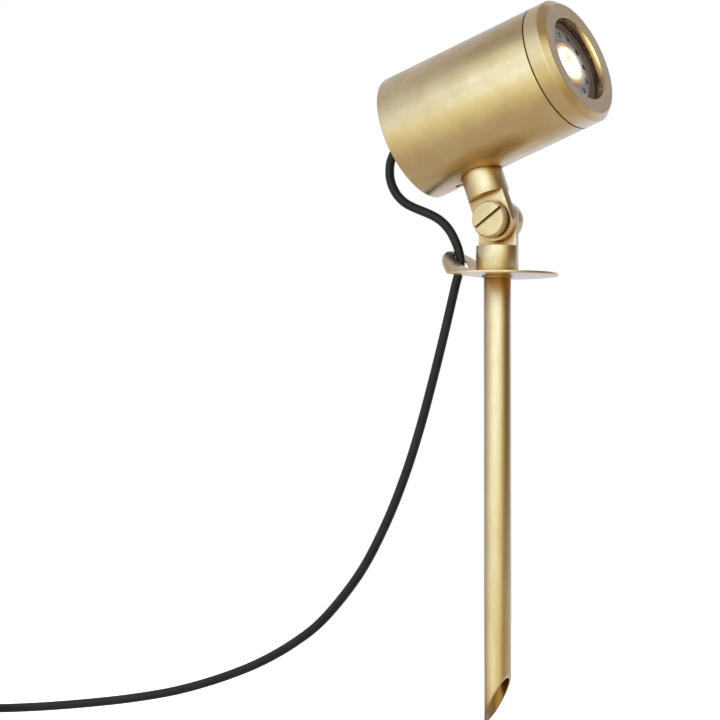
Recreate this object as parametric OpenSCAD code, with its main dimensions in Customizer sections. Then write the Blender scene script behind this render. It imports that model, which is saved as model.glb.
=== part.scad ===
// Landscape spotlight: a tilting brass head on a knuckle, a flange with a cable tab, a ground spike
// and its lead.
// Origin: centre of the flange's underside, on the spike's axis. +Z is up, the knuckle pivots about Y,
// and the lamp looks along +X, tilted up.

/* [Head] */
// Outer diameter of the head
head_d = 65.5; // [60:0.5:75]
// Length of the body from its back face to the groove
body_len = 88; // [84:1:110]
// Wall of the body
body_wall = 3.5; // [3:0.1:4.5]
// Thickness of the closed back
back_wall = 6; // [5:0.5:9]
// Fillet round the back rim
back_fillet = 0.6; // [0.2:0.1:2]
// Tilt of the head above level as it is stored
rest_tilt = 20.7; // [10:0.1:30]

/* [Bezel and glass] */
// Visible gap between body and bezel
groove = 0.7; // [0.3:0.1:1]
// Visible length of the bezel
bezel_len = 11.5; // [10:0.5:14]
// Depth of the bezel's chamfer along the head
chamfer_len = 3.4; // [1:0.1:5]
// Depth of the bezel's chamfer towards the axis
chamfer_in = 3.1; // [1:0.1:5]
// Diameter of the light opening
aperture_d = 44.1; // [38:0.1:46]
// Thickness of the bezel's front wall
bezel_front = 3.4; // [2.5:0.1:4.5]
// Length of the threaded spigot inside the body
spigot_len = 6; // [4:0.5:9]
// Wall of the spigot
spigot_wall = 2.7; // [2:0.1:2.9]
// Thickness of the glass
glass_t = 3; // [2:0.1:4]
// Radial wall of the glass gasket
gasket_wall = 1.2; // [0.8:0.1:1.5]
// Thickness of each lip of the glass gasket
gasket_lip = 0.5; // [0.4:0.1:1]
// How far the gasket's lips reach over the glass
lip_reach = 1.6; // [1:0.1:2]
// Thickness of the seal ring's cord
oring_d = 1.4; // [1.2:0.1:1.8]

/* [Lamp] */
// Diameter of the reflector lamp
lamp_d = 50; // [48:0.5:50.5]
// Length of the lamp from its face to its base
lamp_len = 46; // [42:0.5:50]
// Diameter of the lamp's vented face
face_d = 41.8; // [38:0.1:43]
// Diameter of the central lens
lamp_lens_d = 22.8; // [20:0.1:25]
// Distance from the lamp's face to the glass's gasket
lamp_gap = 1; // [0.8:0.1:2]
// Number of vents in the lamp's face
vents = 12; // [8:1:16]
// Length and width of each vent
vent = 2.9; // [1.5:0.1:3]
// Radius of the ring of vents
vent_ring_r = 15.8; // [15.5:0.1:17.5]
// Distance between the lamp's pins
pin_gap = 5.3; // [4:0.1:6.4]
// Diameter of the lamp's pins
pin_d = 1.5; // [1.2:0.1:1.6]
// Number of cooling slots in the lamp's shell
fins = 18; // [12:1:24]

/* [Lampholder] */
// Length of the ceramic lampholder
holder_w = 20; // [18:0.5:22]
// Width of the ceramic lampholder
holder_t = 11; // [10:0.5:12]
// Height of the ceramic lampholder
holder_h = 12; // [10:0.5:14]
// Thickness of the bracket's strip
strip = 1; // [0.8:0.1:1.5]
// Width of the bracket's strip
strip_w = 10; // [9:0.5:12]
// Distance between the bracket's legs
leg_gap = 28; // [24:1:30]
// Length of each bracket foot
foot = 8; // [7:0.5:9]

/* [Cable gland] */
// Diameter of the gland's threaded body
gland_d = 12; // [11:0.5:14]
// How far the gland nut stands out of the back
gland_out = 4; // [3.5:0.1:8]
// Width of the gland nut across its flats
gland_flats = 15; // [14.5:0.5:18]
// Diameter of the rubber seal
seal_d = 7.4; // [6.5:0.1:8]

/* [Knuckle] */
// Diameter of the bar that both knuckle halves are cut from
bar_d = 21.3; // [20:0.1:24]
// Height of the pivot above the flange's underside
pivot_z = 28; // [26:0.5:34]
// Distance from the pivot to the head's axis
axis_rise = 57.25; // [55:0.25:66]
// Distance from the head's back face to the stem's axis
stem_back = 29.1; // [26:0.1:45]
// Distance from the pivot to the end of each round bar
knuckle_step = 13; // [12:0.1:15]
// Thickness of each knuckle blade
blade_t = 4.2; // [4:0.1:6]
// Distance from the bar's axis to the faces where the blades meet
joint_y = 0.2; // [0:0.1:2]
// Diameter of the clamp screw's shank
shank_d = 6; // [5:0.5:8]
// Diameter of the clamp screw's head and of its nut
screw_d = 18.6; // [15:0.1:20]
// Thickness of the clamp screw's head
screw_t = 4.7; // [4:0.1:6]
// Number of knurls round the clamp screw
knurls = 60; // [40:2:72]
// Depth of the knurls
knurl_depth = 0.5; // [0.2:0.05:0.6]
// Width of the screwdriver slot
slot_w = 1.4; // [0.8:0.1:2]
// Depth of the screwdriver slot
slot_depth = 1.8; // [0.8:0.1:2.2]
// Angle of the slot as it is stored
slot_angle = 35; // [0:1:179]
// Distance of the slot's middle line from the screw's axis
slot_off = 0.6; // [0:0.1:1.5]
// Diameter of the clamp washer
washer_d = 14.2; // [13:0.1:17]
// Thickness of the clamp washer
washer_t = 1.5; // [1:0.1:2]
// Thickness of the clamp nut
nut_t = 7; // [3.6:0.1:8]

/* [Flange] */
// Diameter of the flange
flange_d = 60.8; // [58:0.1:66]
// Thickness of the flange's plate
flange_t = 1.2; // [1:0.1:1.6]
// Distance from the spike's axis to the fold
fold_x = 13.2; // [12.8:0.1:14]
// Angle of the folded tab
fold_angle = 45; // [30:1:46]
// Inner radius of the fold
fold_r = 0.8; // [0.5:0.1:1.5]
// Diameter of the cable hole in the tab
cable_hole_d = 9.8; // [9.6:0.1:12]
// Distance along the tab from the fold to the cable hole
cable_hole_u = 9.8; // [9.6:0.1:10.8]

/* [Spike] */
// Outer diameter of the spike's tube
spike_d = 13.6; // [12:0.1:15]
// Wall of the spike's tube
spike_wall = 1.2; // [1:0.1:1.8]
// Depth of the spike's tip below the flange
spike_depth = 222; // [220:1:300]
// Angle between the spike's axis and its bevelled end
bevel_angle = 29.5; // [25:0.5:45]
// Diameter of the washer under the flange
spike_washer_d = 15.4; // [15.2:0.1:20]
// Thickness of the washer under the flange
spike_washer_t = 0.8; // [0.5:0.1:1.5]
// Length of the plug in the top of the tube
plug_len = 16; // [12:1:24]
// Diameter of the threaded stud
stud_d = 8; // [6:0.5:9]

/* [Lead] */
// Diameter of the rubber lead
cord_d = 4.6; // [4.2:0.1:4.8]
// Diameter of each insulated core
core_d = 1.6; // [1.4:0.1:1.8]
// Bare length of the cores at the far end
core_len = 8; // [6:1:12]
// Length of each ferrule
ferrule_len = 7; // [5:1:10]
// Inner radius of the coil's turns
coil_inner_r = 16; // [15:0.5:20]
// Turns of the coil's lower layer
lower_turns = 3.4; // [2:0.1:4]
// Turns of the coil's upper layer
upper_turns = 2.6; // [1:0.1:3]
// Free space between neighbouring turns
turn_gap = 0.65; // [0.6:0.05:1]
// Width of the tie round the coil
tie_w = 3; // [2:0.5:5]
// Thickness of the tie round the coil
tie_t = 0.8; // [0.6:0.1:1]

/* [Hidden] */
$fn = 72;
brass = "#b39a62";
steel = "#b9bcc0";
rubber = "#232326";
ceramic = "#ded8c8";
grey = "#8b8884";

// Clearances: a fixed fit, a thread or shaft that turns, and a loose part
fit = 0.02;
running = 0.05;
loose = 0.1;
// Overlap that joins two solids of one piece
join = 0.01;

head_r = head_d / 2;
bore_r = head_r - body_wall;
bezel_z = body_len + groove;
head_len = bezel_z + bezel_len;
spigot_r = bore_r - running;
cavity_r = spigot_r - spigot_wall;
bezel_in_z = head_len - bezel_front;
glass_r = cavity_r - running - gasket_wall;
gasket_t = glass_t + 2 * (gasket_lip + fit);
gasket_z = bezel_in_z - fit - gasket_t;
// Seat for the seal ring in the mouth of the body
seal_seat_r = spigot_r + oring_d + 4 * running;
seal_seat_z = body_len - oring_d + 0.2;

lamp_r = lamp_d / 2;
lamp_z = gasket_z - lamp_gap;
lamp_base_z = lamp_z - lamp_len;
face_t = 1.3;
rim_t = 3;
board_z = lamp_z - 6.4;
board_t = 1.4;
board_r = face_d / 2 - 2;
chip_t = 0.8;
pin_len = 7;
holder_z = lamp_base_z - loose - holder_h;
strip_z = holder_z - strip;

bar_r = bar_d / 2;
blade_front = joint_y - blade_t;
blade_back = joint_y + running;
nut_y = blade_back + blade_t;
screw_y = washer_t - blade_front;
shank_end = nut_y + nut_t - 1.6;
collar_top = pivot_z - knuckle_step;
knurl_rim = 0.6;

flange_r = flange_d / 2;
fold_mid_r = fold_r + flange_t / 2;
fold_half = fold_mid_r * tan(fold_angle / 2);
spike_r = spike_d / 2;
bore_spike_r = spike_r - spike_wall;
stud_up = 10;
stud_down = 13;

grub_z = 15.3;
grub_d = 4;
stem_screw_d = 5;
stem_screw_depth = 10;

cord_r = cord_d / 2;
floor_z = -spike_depth;
coil_lift = tie_t + 0.4;
coil_z = floor_z + coil_lift + cord_r;
turn_pitch = cord_d + turn_gap;
coil_outer_r = coil_inner_r + lower_turns * turn_pitch;

// A point on the head's axis, at a distance from the back face
function head_point(a) = [
    (a - stem_back) * cos(rest_tilt) - axis_rise * sin(rest_tilt),
    0,
    pivot_z + (a - stem_back) * sin(rest_tilt) + axis_rise * cos(rest_tilt)];

// Route of the lead's centre line: out of the gland, round to the tab's hole, then down to the surface
route = [head_point(-gland_out), head_point(-gland_out - 1),
    [-55.7, 0, 67.5], [-58.8, 0, 64.3], [-60.8, 0, 60.2], [-61.5, 0, 55.9], [-61.2, 0, 51.2],
    [-59.5, 0, 46.4], [-56.5, 0, 42], [-52.2, 0, 38.4], [-47, 0, 35.8], [-41.4, 0, 33.6],
    [-36, 0, 31.2], [-31.2, -0.2, 28.2], [-27.2, -0.4, 24.2], [-24.1, -0.6, 19.4], [-21.7, -0.7, 14],
    [-20.5, -0.8, 8], [-21.5, -0.8, 2], [-23.5, -0.9, -5], [-29.3, -1, -27], [-36.1, -1, -51],
    [-43.8, -1, -76], [-52.6, -1, -100], [-63.7, -1, -124], [-78.3, -1, -148], [-98.5, -1, -170.3],
    [-116, -1, -182.8], [-137, -1, -193.3], [-161, -1, -201.6], [-187, -1, -208.1], [-214, -1, -212.3],
    [-242, -1, -215.2], [-270, -1, -217.3], [-297, -1, coil_z], [-321 + cord_d, -1, coil_z]];
// Index of the route's point where the free upper stretch ends, just under the tab
route_split = 19;
upper_rings = 28;
lower_rings = 44;

// Smooth curve through the points p, at t from 0 to their count less one
function knot(p, i) =
    i < 0 ? 2 * p[0] - p[1] :
    i >= len(p) ? 2 * p[len(p) - 1] - p[len(p) - 2] :
    p[i];
function curve(p, t) =
    let (i = min(floor(t), len(p) - 2), u = t - i,
        a = knot(p, i - 1), b = knot(p, i), c = knot(p, i + 1), d = knot(p, i + 2))
    0.5 * (2 * b + (c - a) * u + (2 * a - 5 * b + 4 * c - d) * u * u + (3 * b - a - 3 * c + d) * pow(u, 3));
function route_part(a, b, n) = [for (i = [0:n]) curve(route, a + (b - a) * i / n)];
function unit(v) = v / norm(v);
// Directions of the route at its start, where the two stretches meet, and at its end
route_start = unit(route[1] - route[0]);
route_mid = unit(curve(route, route_split + 0.01) - curve(route, route_split - 0.01));
route_end = [-1, 0, 0];

// Centre line of the coil: in on the lower layer, up a layer in half a turn, and out on the upper layer
coil_start = route[len(route) - 1];
coil_centre = [coil_start.x - cord_d, coil_start.y - coil_outer_r];
coil_steps = 24;
turns_in = lower_turns * 360;
turns_all = turns_in + 180 + upper_turns * 360;
function coil_r(a) =
    a < turns_in ? coil_outer_r - turn_pitch * a / 360 :
    a < turns_in + 180 ? coil_inner_r - turn_pitch / 360 * (a - turns_in) * (1 - (a - turns_in) / 180) :
    coil_inner_r + turn_pitch * (a - turns_in - 180) / 360;
function coil_rise(a) =
    a < turns_in ? 0 :
    a < turns_in + 180 ? turn_pitch * (1 - cos(a - turns_in)) / 2 :
    turn_pitch;
function coil_point(a) = [
    coil_centre.x + coil_r(a) * cos(90 + a),
    coil_centre.y + coil_r(a) * sin(90 + a),
    coil_z + coil_rise(a)];
coil_rings = round(turns_all / 360 * coil_steps);
coil_turns = [for (i = [0:coil_rings]) coil_point(turns_all * i / coil_rings)];
coil_out = unit(coil_point(turns_all) - coil_point(turns_all - 0.5));
coil_end = coil_turns[coil_rings] + cord_d * coil_out;
coil_path = concat([coil_start], coil_turns, [coil_end]);

// Least gap between two turns of the coil, measured on its points
coil_gap = min([for (i = [0:coil_rings]) for (j = [i + coil_steps / 2:1:coil_rings])
    norm(coil_turns[i] - coil_turns[j])]) - cord_d;
echo(least_gap_of_the_coil = coil_gap);
echo(lead_length = path_length(route_part(0, len(route) - 1, 200)) + path_length(coil_path));
function path_length(p) = len(p) < 2 ? 0 : sum([for (i = [1:len(p) - 1]) norm(p[i] - p[i - 1])]);
function sum(v, i = 0) = i < len(v) ? v[i] + sum(v, i + 1) : 0;

// Direction of a path at one of its points
function heading(p, i) = unit(p[min(i + 1, len(p) - 1)] - p[max(i - 1, 0)]);

// A tube of given radius and number of sides along the path, with its rings square to it and its two
// ends square to the given directions
module tube(path, r, sides, up, first, last) {
    n = len(path);
    rings = [for (i = [0:n - 1])
        let (t = i == 0 ? first : i == n - 1 ? last : heading(path, i),
            a = unit(cross(t, up)), b = cross(t, a))
        for (k = [0:sides - 1]) path[i] + r * (cos(360 * k / sides) * a + sin(360 * k / sides) * b)];
    sides_of_tube = [for (i = [0:n - 2]) for (k = [0:sides - 1])
        let (m = (k + 1) % sides, p = i * sides, q = p + sides)
        each [[p + k, q + k, q + m], [p + k, q + m, p + m]]];
    caps = [for (k = [1:sides - 2])
        each [[0, k, k + 1], [(n - 1) * sides, (n - 1) * sides + k + 1, (n - 1) * sides + k]]];
    polyhedron(points = rings, faces = concat(sides_of_tube, caps));
}

// Frames: the pivot with the stem along +Z, and the head with its axis along +Z and the stem towards +X
module on_pivot() {
    translate([0, 0, pivot_z]) rotate([0, -rest_tilt, 0]) children();
}
module on_head() {
    on_pivot() translate([-stem_back, 0, axis_rise]) rotate([0, 90, 0]) children();
}
// Frame of the clamp: +Z points out of the screw's face, towards the viewer's side
module on_clamp() {
    translate([0, 0, pivot_z]) rotate([90, 0, 0]) children();
}
// A ring between two radii
module ring(inner, outer, h) {
    difference() {
        cylinder(r = outer, h = h);
        translate([0, 0, -1]) cylinder(r = inner, h = h + 2);
    }
}
// Points of an arc about c, from angle a to angle b
function arc(c, r, a, b, n) = [for (i = [0:n]) c + r * [cos(a + (b - a) * i / n), sin(a + (b - a) * i / n)]];

module body_tube() {
    profile = concat(
        [[0, 0]],
        arc([head_r - back_fillet, back_fillet], back_fillet, -90, 0, 6),
        [[head_r, body_len], [seal_seat_r, body_len], [seal_seat_r, seal_seat_z], [bore_r, seal_seat_z],
            [bore_r, back_wall], [0, back_wall]]);
    color(brass) on_head() difference() {
        rotate_extrude() polygon(profile);
        translate([0, 0, -1]) cylinder(d = gland_d + 2 * fit, h = back_wall + 2);
        translate([bore_r - 3, 0, stem_back]) rotate([0, 90, 0])
            cylinder(d = stem_screw_d + 2 * loose, h = body_wall + 6);
        translate([bore_r - 3, 0, grub_z]) rotate([0, 90, 0]) cylinder(d = grub_d, h = body_wall + 6);
        for (side = [-1, 1]) translate([0, side * (leg_gap + foot) / 2, back_wall - 4])
            cylinder(d = 3, h = 5);
    }
}

// Threaded body of the gland, with its flange inside the back wall
gland_flange_t = 2;
gland_mouth = gland_out - 1.4;
module gland_body() {
    color(brass) on_head() difference() {
        union() {
            translate([0, 0, -gland_mouth]) cylinder(d = gland_d, h = gland_mouth + back_wall + join);
            translate([0, 0, back_wall]) cylinder(d = gland_d + 5, h = gland_flange_t);
        }
        translate([0, 0, -gland_mouth - 1]) cylinder(d = seal_d + 2 * fit, h = gland_mouth + back_wall);
        translate([0, 0, -1]) cylinder(d = cord_d + 4 * loose, h = back_wall + gland_flange_t + 2);
    }
}

module gland_nut() {
    chamfer = 0.8;
    across = gland_flats / cos(30);
    color(brass) on_head() translate([0, 0, -gland_out]) difference() {
        intersection() {
            cylinder(d = across, h = gland_out, $fn = 6);
            rotate_extrude() polygon([[0, 0], [gland_flats / 2 - chamfer, 0], [across / 2, chamfer + 0.7],
                [across / 2, gland_out], [0, gland_out]]);
        }
        translate([0, 0, gland_out - gland_mouth - fit]) cylinder(d = gland_d + 2 * fit, h = gland_out);
        translate([0, 0, -1]) cylinder(d = cord_d + 4 * loose, h = gland_out);
    }
}

module gland_seal() {
    color(rubber) on_head() translate([0, 0, -gland_mouth])
        ring(cord_r + fit, seal_d / 2, gland_mouth + back_wall - 1.1);
}

// End of the lead inside the head, up to where its jacket is stripped
tail_z = 14;
module lead_tail() {
    color(rubber) on_head() translate([0, 0, -gland_out]) cylinder(d = cord_d, h = gland_out + tail_z);
}

// The two insulated cores from the stripped jacket to the lampholder
module lamp_leads() {
    color("#8a4b35") on_head() for (side = [-1, 1])
        tube([for (i = [0:10])
            let (u = i / 10)
            [1.5 * (1 - cos(360 * u)),
                side * (core_d / 2 + loose + (pin_gap / 2 - core_d / 2) * (1 - cos(180 * u)) / 2),
                tail_z + (holder_z - tail_z) * u]], core_d / 2, 8, [1, 0, 0], [0, 0, 1], [0, 0, 1]);
}

module holder_bracket() {
    half = leg_gap / 2;
    color(steel) on_head() difference() {
        rotate([90, 0, 90]) translate([0, 0, -strip_w / 2]) linear_extrude(strip_w) polygon([
            [-half - foot, back_wall], [-half, back_wall], [-half, strip_z], [half, strip_z],
            [half, back_wall], [half + foot, back_wall], [half + foot, back_wall + strip],
            [half + strip, back_wall + strip], [half + strip, strip_z + strip],
            [-half - strip, strip_z + strip], [-half - strip, back_wall + strip],
            [-half - foot, back_wall + strip]]);
        for (side = [-1, 1]) {
            translate([0, side * (leg_gap + foot) / 2, back_wall - 1]) cylinder(d = 3.2, h = strip + 2);
            translate([0, side * holder_hole_y, strip_z - 1]) cylinder(d = 2.7, h = strip + 2);
        }
        translate([0, 0, strip_z - 1]) cylinder(d = pin_gap + core_d + 1, h = strip + 2);
    }
}

// A pan head screw that points down its own -Z, with its head above z = 0
module pan_screw(d, len) {
    translate([0, 0, -len]) cylinder(d = d, h = len + join);
    difference() {
        rotate_extrude()
            polygon([[0, 0], [d * 0.95, 0], [d * 0.95, d * 0.35], [d * 0.6, d * 0.6], [0, d * 0.6]]);
        for (turn = [0, 90]) rotate([0, 0, turn])
            translate([-d * 0.5, -d * 0.1, d * 0.3]) cube([d, d * 0.2, d]);
    }
}

module bracket_screws() {
    color(steel) on_head() for (side = [-1, 1])
        translate([0, side * (leg_gap + foot) / 2, back_wall + strip]) pan_screw(3 - 2 * fit, strip + 3.5);
}

holder_hole_y = holder_w / 2 - 3;
module lampholder() {
    end_r = holder_t / 2;
    color(ceramic) on_head() translate([0, 0, holder_z]) difference() {
        linear_extrude(holder_h) union() {
            square([holder_w - holder_t, holder_t], center = true);
            for (side = [-1, 1]) translate([0, side * (holder_w / 2 - end_r)]) circle(r = end_r);
            square([holder_t, holder_w - holder_t], center = true);
        }
        for (side = [-1, 1]) {
            translate([0, side * pin_gap / 2, holder_h - pin_len - 1])
                cylinder(d = pin_d + 2 * loose, h = pin_len + 2);
            translate([0, side * holder_hole_y, -1]) cylinder(d = 2.5, h = 7);
        }
    }
}

module holder_screws() {
    color(steel) on_head() for (side = [-1, 1])
        translate([0, side * holder_hole_y, strip_z]) mirror([0, 0, 1]) pan_screw(2.5 - 2 * fit, strip + 5);
}

// Cast shell of the lamp: a flared cup with cooling slots and a square base
module lamp_shell() {
    neck_z = lamp_base_z + 8;
    neck_r = 9;
    flare = [for (i = [0:10])
        let (u = i / 10) [neck_r + (lamp_r - 1.4 - neck_r) * sin(90 * u),
            neck_z + (lamp_z - rim_t - 1 - neck_z) * u * u]];
    slot_w = 2;
    slot_r = 15.5;
    color(grey) on_head() difference() {
        union() {
            rotate_extrude() polygon(concat([[0, neck_z - 3], [neck_r, neck_z - 3]], flare,
                [[lamp_r, lamp_z - rim_t], [lamp_r, lamp_z], [0, lamp_z]]));
            translate([-4.2, -7.5, lamp_base_z]) cube([8.4, 15, neck_z - lamp_base_z - 2]);
        }
        translate([0, 0, lamp_z - face_t]) cylinder(d = face_d + 4 * fit, h = face_t + 1);
        translate([0, 0, board_z]) cylinder(r = board_r + loose, h = lamp_z - board_z);
        for (i = [0:fins - 1]) rotate([0, 0, 360 * (i + 0.5) / fins])
            translate([slot_r, -slot_w / 2, neck_z]) cube([lamp_r, slot_w, board_z - 2 - neck_z]);
        for (side = [-1, 1]) translate([0, side * pin_gap / 2, lamp_base_z - 1])
            cylinder(d = pin_d + 2 * fit, h = 4);
    }
}

module lamp_face() {
    color(grey) on_head() translate([0, 0, lamp_z - face_t]) difference() {
        ring(lamp_lens_d / 2 + loose, face_d / 2, face_t);
        for (i = [0:vents - 1]) rotate([0, 0, 360 * (i - 0.08) / vents])
            translate([vent_ring_r - vent / 2, -vent / 2, -1]) cube([vent, vent, face_t + 2]);
    }
}

// Central optic: a cone over the light source with a domed face, held by its flange behind the vented face
module lamp_lens() {
    r = lamp_lens_d / 2;
    foot_z = board_z + board_t + chip_t + loose;
    flange_top = lamp_z - face_t - fit;
    dome_r = 90;
    dome_a = asin(r / dome_r);
    edge_z = lamp_z + 0.3;
    color("#fff6dc") on_head() rotate_extrude() polygon(concat(
        [[0, foot_z], [4.5, foot_z], [r, flange_top - 1], [r + 1.3, flange_top - 1], [r + 1.3, flange_top],
            [r, flange_top]],
        arc([0, edge_z - dome_r * cos(dome_a)], dome_r, 90 - dome_a, 90, 6)));
}

module led_board() {
    color("#f2f2ee") on_head() translate([0, 0, board_z]) cylinder(r = board_r, h = board_t);
}

module led_chip() {
    size = 5;
    color("#f0d850") on_head() translate([-size / 2, -size / 2, board_z + board_t])
        cube([size, size, chip_t]);
}

module lamp_pins() {
    color(steel) on_head() for (side = [-1, 1]) translate([0, side * pin_gap / 2, lamp_base_z - pin_len])
        cylinder(d = pin_d, h = pin_len + 2.5);
}

// Seal ring on the bezel's spigot, in the seat at the mouth of the body
module bezel_seal() {
    color(rubber) on_head() translate([0, 0, seal_seat_z + oring_d / 2 + loose]) rotate_extrude()
        translate([spigot_r + oring_d / 2 + 2 * running, 0]) circle(d = oring_d);
}

// Screwed front ring: chamfered outside, with a threaded spigot that goes into the body
module bezel() {
    color(brass) on_head() rotate_extrude() polygon([
        [cavity_r, bezel_z - spigot_len], [spigot_r - 0.5, bezel_z - spigot_len],
        [spigot_r, bezel_z - spigot_len + 0.5], [spigot_r, bezel_z], [head_r, bezel_z],
        [head_r, head_len - chamfer_len], [head_r - chamfer_in, head_len], [aperture_d / 2 + 0.3, head_len],
        [aperture_d / 2, head_len - 0.3], [aperture_d / 2, bezel_in_z], [cavity_r, bezel_in_z]]);
}

module lens_glass() {
    color("#dfe8ec", 0.35) on_head() translate([0, 0, gasket_z + gasket_lip + fit])
        cylinder(r = glass_r - fit, h = glass_t);
}

// Channel of silicone round the glass's edge
module lens_gasket() {
    lip_r = glass_r - lip_reach;
    slot = glass_t + 2 * fit;
    color("#3c3c3e") on_head() translate([0, 0, gasket_z]) rotate_extrude() polygon([
        [lip_r, 0], [cavity_r - running, 0], [cavity_r - running, gasket_t], [lip_r, gasket_t],
        [lip_r, gasket_t - gasket_lip], [glass_r, gasket_t - gasket_lip],
        [glass_r, gasket_t - gasket_lip - slot], [lip_r, gasket_t - gasket_lip - slot]]);
}

// Set screw in the small hole behind the stem
module grub_screw() {
    color("#3a3a3c") on_head() translate([bore_r + 0.3, 0, grub_z]) rotate([0, 90, 0]) difference() {
        cylinder(d = grub_d - 2 * fit, h = body_wall - 1.6);
        translate([0, 0, body_wall - 2.8]) cylinder(d = 2.3, h = 4, $fn = 6);
    }
}

module stem_screw() {
    seat = sqrt(pow(bore_r, 2) - pow(stem_screw_d * 0.95, 2)) - fit;
    color(steel) on_head() translate([seat, 0, stem_back]) rotate([0, -90, 0])
        pan_screw(stem_screw_d, head_r + stem_screw_depth - seat);
}

// A flat blade cut from the bar, with a round end below the pivot, between two values of y
module blade(y_low, t) {
    intersection() {
        translate([0, 0, -bar_r]) cylinder(r = bar_r, h = bar_r + knuckle_step + join);
        translate([-bar_r, y_low, -bar_r]) cube([bar_d, t, bar_d + knuckle_step]);
        union() {
            rotate([90, 0, 0]) cylinder(r = bar_r, h = 2 * bar_d, center = true);
            translate([-bar_r, -bar_r, 0]) cube([bar_d, bar_d, bar_d]);
        }
    }
}

module upper_knuckle() {
    color(brass) on_pivot() difference() {
        union() {
            translate([0, 0, knuckle_step]) cylinder(r = bar_r, h = axis_rise - knuckle_step);
            blade(blade_front, blade_t);
        }
        translate([0, 0, axis_rise]) rotate([0, 90, 0])
            cylinder(r = head_r + running, h = 2 * head_d, center = true);
        rotate([90, 0, 0]) cylinder(d = shank_d + 2 * running, h = 2 * bar_d, center = true);
        translate([0, 0, axis_rise - head_r - stem_screw_depth - 1])
            cylinder(d = stem_screw_d + 2 * fit, h = stem_screw_depth + 10);
    }
}

module lower_knuckle() {
    color(brass) difference() {
        union() {
            translate([0, 0, flange_t]) cylinder(r = bar_r, h = collar_top - flange_t);
            translate([0, 0, pivot_z]) mirror([0, 0, 1]) blade(blade_back, blade_t);
        }
        translate([0, 0, pivot_z]) rotate([90, 0, 0])
            cylinder(d = shank_d + 2 * running, h = 2 * bar_d, center = true);
        translate([0, 0, flange_t - 1]) cylinder(d = stud_d + 2 * fit, h = stud_up + 1.5);
    }
}

module clamp_washer() {
    color(brass) on_clamp() translate([0, 0, -blade_front])
        ring(shank_d / 2 + running, washer_d / 2, washer_t);
}

// Slotted thumb screw: a knurled band between two plain rims, and a plain shank for its thread
module clamp_screw() {
    tip_r = screw_d / 2;
    root_r = tip_r - knurl_depth;
    rim_r = root_r - 0.1;
    band = [for (i = [0:2 * knurls - 1])
        (i % 2 == 0 ? tip_r : root_r) * [cos(180 * i / knurls), sin(180 * i / knurls)]];
    color(brass) on_clamp() difference() {
        union() {
            translate([0, 0, screw_y]) rotate_extrude() polygon([[0, 0], [rim_r - 0.4, 0], [rim_r, 0.4],
                [rim_r, screw_t - 0.3], [rim_r - 0.3, screw_t], [0, screw_t]]);
            translate([0, 0, screw_y + knurl_rim]) linear_extrude(screw_t - 2 * knurl_rim) polygon(band);
            translate([0, 0, -shank_end]) cylinder(d = shank_d, h = shank_end + screw_y + join);
        }
        rotate([0, 0, slot_angle])
            translate([-screw_d, slot_off - slot_w / 2, screw_y + screw_t - slot_depth])
            cube([2 * screw_d, slot_w, slot_depth + 1]);
    }
}

module clamp_nut() {
    r = screw_d / 2;
    color(brass) translate([0, 0, pivot_z]) rotate([-90, 0, 0]) translate([0, 0, nut_y]) difference() {
        rotate_extrude()
            polygon([[0, 0], [r - 0.4, 0], [r, 0.4], [r, nut_t - 1.2], [r - 1.2, nut_t], [0, nut_t]]);
        translate([0, 0, -1]) cylinder(d = shank_d + 2 * running, h = nut_t);
    }
}

// Flange with the part beyond the fold bent up: a bent strip cut to the outline of the flat disc
module flange() {
    bend = [-fold_x + fold_half, flange_t + fold_r];
    along = flange_r * [-cos(fold_angle), sin(fold_angle)];
    outer = arc(bend, fold_r + flange_t, -90, -90 - fold_angle, 8);
    inner = arc(bend, fold_r, -90 - fold_angle, -90, 8);
    far = 2 * flange_r;
    lap = 0.6;
    color(brass) difference() {
        intersection() {
            rotate([90, 0, 0]) translate([0, 0, -flange_r - 1])
                linear_extrude(2 * flange_r + 2) polygon(concat(
                [[flange_r + 1, 0]], outer, [outer[8] + along, inner[0] + along], inner,
                [[flange_r + 1, flange_t]]));
            union() {
                difference() {
                    translate([0, 0, -1]) cylinder(r = flange_r, h = flange_t + 3);
                    translate([-fold_x - lap - far, -flange_r, -2]) cube([far, far, far]);
                }
                on_tab() difference() {
                    translate([fold_x, 0, -2]) cylinder(r = flange_r, h = 4);
                    translate([lap, -flange_r, -4]) cube([far, far, far]);
                }
            }
        }
        translate([0, 0, -1]) cylinder(d = stud_d + 2 * loose, h = flange_t + 2);
        on_tab() translate([-cable_hole_u, 0, -2]) cylinder(d = cable_hole_d, h = 4);
    }
}
// Frame of the tab: origin on the fold, in the middle of the plate, with the tab along -X
module on_tab() {
    translate([-fold_x, 0, flange_t / 2]) rotate([0, fold_angle, 0]) children();
}

module spike_washer() {
    color(brass) translate([0, 0, -spike_washer_t])
        ring(stud_d / 2 + loose, spike_washer_d / 2, spike_washer_t);
}

module knuckle_stud() {
    color(steel) translate([0, 0, -stud_down]) cylinder(d = stud_d, h = stud_down + flange_t + stud_up);
}

module spike_plug() {
    color(brass) translate([0, 0, -spike_washer_t - plug_len])
        ring(stud_d / 2 + fit, bore_spike_r - fit, plug_len);
}

module spike_tube() {
    len = spike_depth - spike_washer_t;
    color(brass) difference() {
        translate([0, 0, -spike_depth]) ring(bore_spike_r, spike_r, len);
        translate([-spike_r, 0, -spike_depth]) rotate([0, bevel_angle, 0])
            translate([0, -spike_d, -spike_d]) cube([2 * spike_d, 2 * spike_d, 5 * spike_d]);
    }
}

module lead_upper() {
    color(rubber) tube(route_part(0, route_split, upper_rings), cord_r, 10, [0, 1, 0],
        route_start, route_mid);
}

module lead_lower() {
    color(rubber) tube(route_part(route_split, len(route) - 1, lower_rings), cord_r, 10, [0, 1, 0],
        route_mid, route_end);
}

module lead_coil() {
    color(rubber) tube(coil_path, cord_r, 6, [0, 0, 1], route_end, coil_out);
}

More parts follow.
